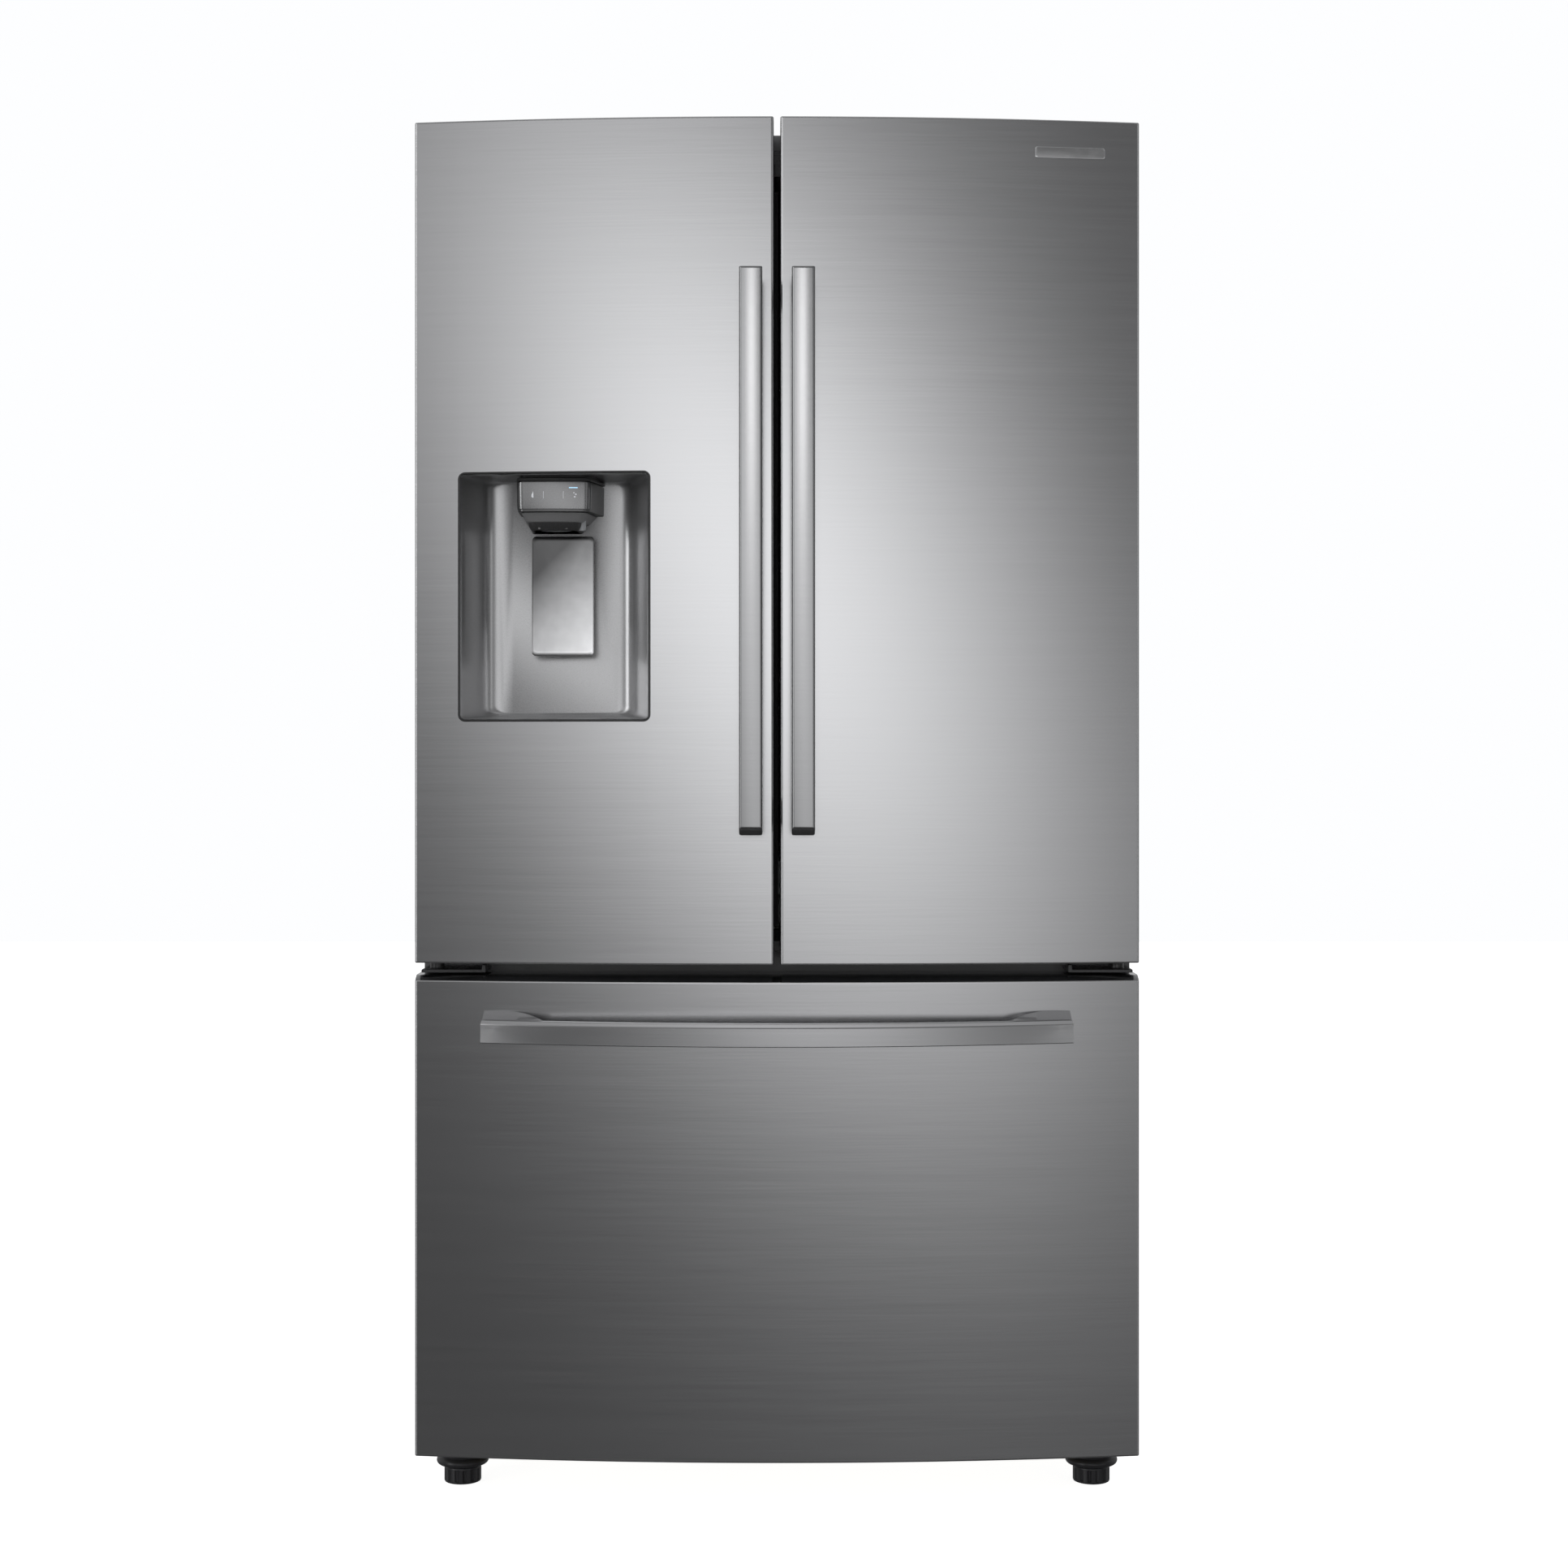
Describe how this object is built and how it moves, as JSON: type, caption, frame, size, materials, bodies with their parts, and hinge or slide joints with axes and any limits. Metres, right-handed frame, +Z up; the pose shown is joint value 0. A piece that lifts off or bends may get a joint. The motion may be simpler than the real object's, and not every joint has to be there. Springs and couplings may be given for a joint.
{
  "type": "french door refrigerator",
  "caption": "Free-standing refrigerator with a pair of curved stainless doors, a recessed ice and water dispenser, bar handles and a wide freezer drawer on telescopic slides.",
  "frame": {"origin": "on the floor, midway between the sides and between the handle fronts and the back", "axes": "+Z up, +X to the right of a person facing the doors, +Y to the back"},
  "size_m": [0.908, 0.898, 1.778],
  "materials": {
    "case_paint": "satin grey paint",
    "galvanised": "galvanised sheet",
    "foam": null,
    "white_liner": "vacuum-formed white",
    "black_paint": "gloss black",
    "fin_aluminium": "bare fins",
    "satin_trim": "satin",
    "shelf_glass": "clear tempered",
    "zinc_steel": "zinc plated",
    "dark_plastic": "fine textured black",
    "brass_fitting": "bare",
    "clear_plastic": "clear moulded",
    "stainless": "horizontally brushed",
    "seal": "soft magnetic seal",
    "grey_cap": "moulded grey",
    "handle_steel": "brushed along its length",
    "recess_satin": "metallic satin",
    "dark_trim": "dark metallic",
    "pod_dark": "dark metallic",
    "panel_satin": "satin metallic with pale symbols",
    "paddle_mirror": "polished",
    "mullion_dark": "black",
    "badge_metal": "satin blank plate"
  },
  "bodies": {
    "cabinet": {"cabinet_wrapper": "case_paint", "rear_panel": "galvanised", "cabinet_insulation": "foam", "fridge_liner": "white_liner", "freezer_liner": "white_liner", "centre_rail": "case_paint", "base_frame": "galvanised", "machine_cover": "galvanised", "compressor": "black_paint", "condenser": "fin_aluminium", "air_ducts": "white_liner", "ice_maker": "white_liner", "shelf_frames": "satin_trim", "glass_shelves": "shelf_glass", "top_hinges": "zinc_steel", "hinge_covers": "dark_plastic", "middle_hinges": "zinc_steel", "leg_housings": "dark_plastic", "outer_slides": "zinc_steel", "water_inlet": "brass_fitting"},
    "condenser_fan": {"condenser_fan": "dark_plastic"},
    "left_levelling_leg": {"left_levelling_leg": "dark_plastic"},
    "right_levelling_leg": {"right_levelling_leg": "dark_plastic"},
    "left_roller": {"left_roller": "dark_plastic"},
    "right_roller": {"right_roller": "dark_plastic"},
    "middle_slides": {"middle_slides": "zinc_steel"},
    "left_crisper": {"left_crisper": "clear_plastic"},
    "right_crisper": {"right_crisper": "clear_plastic"},
    "pantry_drawer": {"pantry_drawer": "clear_plastic"},
    "freezer_tray": {"freezer_tray": "clear_plastic"},
    "left_door": {"left_door_skin": "stainless", "left_door_core": "foam", "left_door_liner": "white_liner", "left_door_gasket": "seal", "left_door_caps": "grey_cap", "left_door_handle": "handle_steel", "left_door_bins": "clear_plastic", "dispenser_housing": "recess_satin", "dispenser_bezel": "dark_trim", "dispenser_pod": "pod_dark", "control_panel": "panel_satin", "dispenser_chute": "clear_plastic"},
    "dispenser_paddle": {"dispenser_paddle": "paddle_mirror"},
    "flip_mullion": {"flip_mullion": "mullion_dark"},
    "right_door": {"right_door_skin": "stainless", "right_door_core": "foam", "right_door_liner": "white_liner", "right_door_gasket": "seal", "right_door_caps": "grey_cap", "right_door_handle": "handle_steel", "right_door_bins": "clear_plastic", "badge": "badge_metal"},
    "freezer_drawer": {"drawer_skin": "stainless", "drawer_core": "foam", "drawer_liner": "white_liner", "drawer_gasket": "seal", "drawer_caps": "grey_cap", "drawer_handle": "handle_steel", "drawer_slides": "zinc_steel", "freezer_basket": "white_liner"}
  },
  "joints": [
    {"name": "left_door_hinge", "type": "hinge", "parent": "cabinet", "child": "left_door", "pos_m": [-0.43, -0.32, 0.7], "axis": [0, 0, -1], "range_deg": [0, 120]},
    {"name": "right_door_hinge", "type": "hinge", "parent": "cabinet", "child": "right_door", "pos_m": [0.43, -0.32, 0.7], "axis": [0, 0, 1], "range_deg": [0, 120]},
    {"name": "mullion_flip", "type": "hinge", "parent": "left_door", "child": "flip_mullion", "pos_m": [-0.045, -0.272, 1.2], "axis": [0, 0, 1], "range_deg": [0, 90]},
    {"name": "paddle_press", "type": "hinge", "parent": "left_door", "child": "dispenser_paddle", "pos_m": [-0.2715, -0.303, 1.221], "axis": [1, 0, 0], "range_deg": [0, 5], "stiffness_Nm_per_rad": 1.2, "springref_deg": -6.88},
    {"name": "drawer_slide", "type": "slide", "parent": "cabinet", "child": "freezer_drawer", "axis": [0, -1, 0], "range_m": [0, 0.45]},
    {"name": "middle_slide", "type": "slide", "parent": "cabinet", "child": "middle_slides", "axis": [0, -1, 0], "range_m": [0, 0.225]},
    {"name": "tray_slide", "type": "slide", "parent": "cabinet", "child": "freezer_tray", "axis": [0, -1, 0], "range_m": [0, 0.225]},
    {"name": "left_crisper_slide", "type": "slide", "parent": "cabinet", "child": "left_crisper", "axis": [0, -1, 0], "range_m": [0, 0.075]},
    {"name": "right_crisper_slide", "type": "slide", "parent": "cabinet", "child": "right_crisper", "axis": [0, -1, 0], "range_m": [0, 0.075]},
    {"name": "pantry_slide", "type": "slide", "parent": "cabinet", "child": "pantry_drawer", "axis": [0, -1, 0], "range_m": [0, 0.075]},
    {"name": "condenser_fan_spin", "type": "hinge", "parent": "cabinet", "child": "condenser_fan", "pos_m": [-0.129, 0.315, 0.108], "axis": [1, 0, 0], "continuous": true},
    {"name": "left_leg_turn", "type": "hinge", "parent": "cabinet", "child": "left_levelling_leg", "pos_m": [-0.412, -0.209, 0], "axis": [0, 0, 1], "continuous": true},
    {"name": "right_leg_turn", "type": "hinge", "parent": "cabinet", "child": "right_levelling_leg", "pos_m": [0.412, -0.209, 0], "axis": [0, 0, 1], "continuous": true},
    {"name": "left_roller_spin", "type": "hinge", "parent": "cabinet", "child": "left_roller", "pos_m": [-0.4005, 0.385, 0.02], "axis": [1, 0, 0], "continuous": true},
    {"name": "right_roller_spin", "type": "hinge", "parent": "cabinet", "child": "right_roller", "pos_m": [0.4005, 0.385, 0.02], "axis": [1, 0, 0], "continuous": true}
  ],
  "couplings": [
    {"joint": "middle_slide", "follows": "drawer_slide", "ratio": 0.5},
    {"joint": "tray_slide", "follows": "drawer_slide", "ratio": 0.5}
  ]
}
